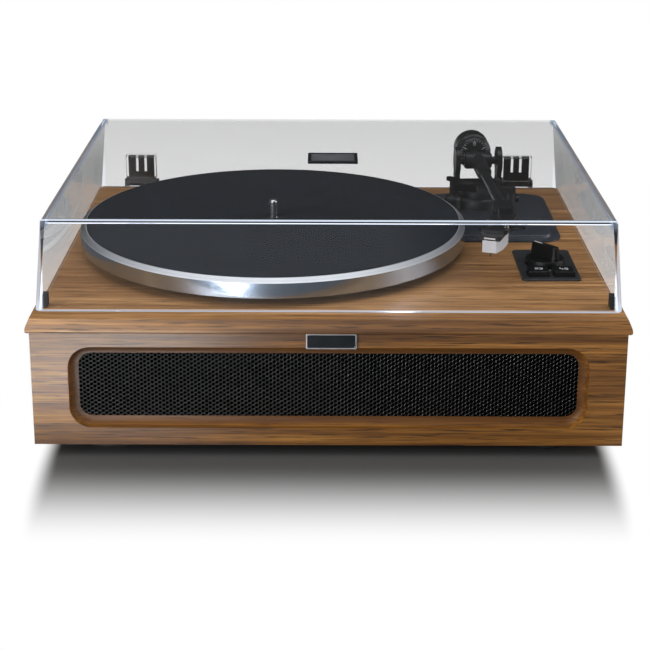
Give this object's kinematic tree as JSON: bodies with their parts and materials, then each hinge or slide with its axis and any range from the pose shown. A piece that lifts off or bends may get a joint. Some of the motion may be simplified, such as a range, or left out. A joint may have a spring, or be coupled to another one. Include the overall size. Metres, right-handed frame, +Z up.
{
  "type": "turntable record player",
  "caption": "Belt-drive record player in a walnut speaker cabinet, with a straight tonearm, felt-matted platter, selector knob, push keys and a clear hinged dust cover.",
  "frame": {"origin": "on the surface it stands on, under the middle of the whole outline, cover closed", "axes": "+X to the right as seen from the front, +Y to the hinged back, +Z up"},
  "size_m": [0.416, 0.347, 0.1675],
  "materials": {
    "walnut": "satin walnut veneer",
    "back_board": "dark stained fibreboard",
    "raw_board": "raw fibreboard",
    "foot_rubber": "matte black rubber",
    "zinc_steel": "bright zinc plate",
    "black_steel": "black baked enamel",
    "cone_paper": "pressed black paper",
    "magnet": "sintered ferrite",
    "black_plastic": "fine textured moulding",
    "platter_aluminium": "turned aluminium",
    "mat_felt": "pressed felt",
    "ground_steel": "ground bright",
    "bearing_metal": "die-cast zinc",
    "bronze": "turned",
    "motor_can": "plated steel can",
    "belt_rubber": "ground flat rubber",
    "arm_metal": "black anodised and painted",
    "cartridge_white": "pale grey moulding",
    "stylus_grey": "dark moulding",
    "clear_acrylic": "clear moulded acrylic",
    "circuit_board": "green solder mask",
    "sink_aluminium": "extruded"
  },
  "bodies": {
    "cabinet": {"top_panel": "walnut", "front_panel": "walnut", "left_side_panel": "walnut", "right_side_panel": "walnut", "back_panel": "back_board", "bottom_panel": "back_board", "corner_blocks": "raw_board", "feet": "foot_rubber", "foot_screws": "zinc_steel", "speaker_grille": "black_steel", "speaker_baffle": "back_board", "woofer_baskets": "black_steel", "woofer_cones": "cone_paper", "woofer_magnets": "magnet", "tweeters": "black_plastic", "bearing_housing": "bearing_metal", "bearing_bush": "bronze", "thrust_pad": "black_plastic", "motor_plate": "zinc_steel", "motor_grommets": "foot_rubber", "motor_body": "motor_can", "motor_screws": "zinc_steel", "drive_belt": "belt_rubber", "tonearm_plate": "black_plastic", "tonearm_tower": "black_plastic", "arm_rest": "black_plastic", "control_plate": "black_plastic", "switch_board": "circuit_board", "selector_switch": "black_plastic", "hinge_brackets": "black_plastic", "hinge_pins": "zinc_steel", "hinge_screws": "black_steel", "amplifier_board": "circuit_board", "board_standoffs": "black_plastic", "heat_sink": "sink_aluminium", "line_sockets": "black_plastic", "power_inlet": "black_plastic"},
    "dust_cover": {"dust_cover": "clear_acrylic", "hinge_tongues": "black_plastic", "cover_bumpers": "foot_rubber"},
    "platter": {"platter": "platter_aluminium", "platter_mat": "mat_felt", "spindle": "ground_steel"},
    "motor_pulley": {"motor_pulley": "bronze"},
    "arm_swivel": {"arm_yoke": "black_plastic", "swivel_shaft": "ground_steel"},
    "tonearm": {"pivot_block": "arm_metal", "arm_tube": "arm_metal", "headshell": "arm_metal", "headshell_screws": "zinc_steel", "cartridge_cap": "black_plastic", "cartridge_body": "cartridge_white", "stylus": "stylus_grey"},
    "counterweight": {"counterweight": "arm_metal"},
    "tracking_dial": {"tracking_dial": "black_plastic"},
    "cue_lever": {"cue_lever": "black_plastic"},
    "cue_lift": {"cue_lift_bar": "black_plastic"},
    "selector_knob": {"selector_knob": "black_plastic"},
    "left_key": {"left_key": "black_plastic"},
    "right_key": {"right_key": "black_plastic"}
  },
  "joints": [
    {"name": "dust_cover_hinge", "type": "hinge", "parent": "cabinet", "child": "dust_cover", "pos_m": [0, 0.17, 0.1055], "axis": [-1, 0, 0], "range_deg": [0, 65]},
    {"name": "platter_spin", "type": "hinge", "parent": "cabinet", "child": "platter", "pos_m": [-0.0435, 0.003, 0.102], "axis": [0, 0, -1], "continuous": true},
    {"name": "motor_pulley_spin", "type": "hinge", "parent": "cabinet", "child": "motor_pulley", "pos_m": [-0.13389, 0.07885, 0.102], "axis": [0, 0, -1], "continuous": true},
    {"name": "arm_swing", "type": "hinge", "parent": "cabinet", "child": "arm_swivel", "pos_m": [0.1255, 0.1035, 0.143], "axis": [0, 0, -1], "range_deg": [0, 41]},
    {"name": "arm_lift", "type": "hinge", "parent": "arm_swivel", "child": "tonearm", "pos_m": [0.1255, 0.1035, 0.143], "axis": [-0.9994, -0.0349, 0], "range_deg": [-0.25, 4.5]},
    {"name": "counterweight_turn", "type": "hinge", "parent": "tonearm", "child": "counterweight", "pos_m": [0.1255, 0.1035, 0.143], "axis": [0.0349, -0.9994, 0], "range_deg": [-180, 180]},
    {"name": "tracking_dial_turn", "type": "hinge", "parent": "counterweight", "child": "tracking_dial", "pos_m": [0.1255, 0.1035, 0.143], "axis": [0.0349, -0.9994, 0], "range_deg": [-180, 180]},
    {"name": "cue_lever_tilt", "type": "hinge", "parent": "cabinet", "child": "cue_lever", "pos_m": [0.1525, 0.0975, 0.113], "axis": [-1, 0, 0], "range_deg": [0, 50]},
    {"name": "cue_lift_slide", "type": "slide", "parent": "cabinet", "child": "cue_lift", "axis": [0, 0, 1], "range_m": [0, 0.003]},
    {"name": "selector_turn", "type": "hinge", "parent": "cabinet", "child": "selector_knob", "pos_m": [0.1635, -0.0486, 0.1039], "axis": [0, 0, -1], "range_deg": [0, 90]},
    {"name": "left_key_press", "type": "slide", "parent": "cabinet", "child": "left_key", "axis": [0, 0, -1], "range_m": [0, 0.0015], "stiffness_N_per_m": 400},
    {"name": "right_key_press", "type": "slide", "parent": "cabinet", "child": "right_key", "axis": [0, 0, -1], "range_m": [0, 0.0015], "stiffness_N_per_m": 400}
  ],
  "couplings": [
    {"joint": "motor_pulley_spin", "follows": "platter_spin", "ratio": 19.1},
    {"joint": "cue_lift_slide", "follows": "cue_lever_tilt", "m_per_rad": 0.0034377}
  ]
}
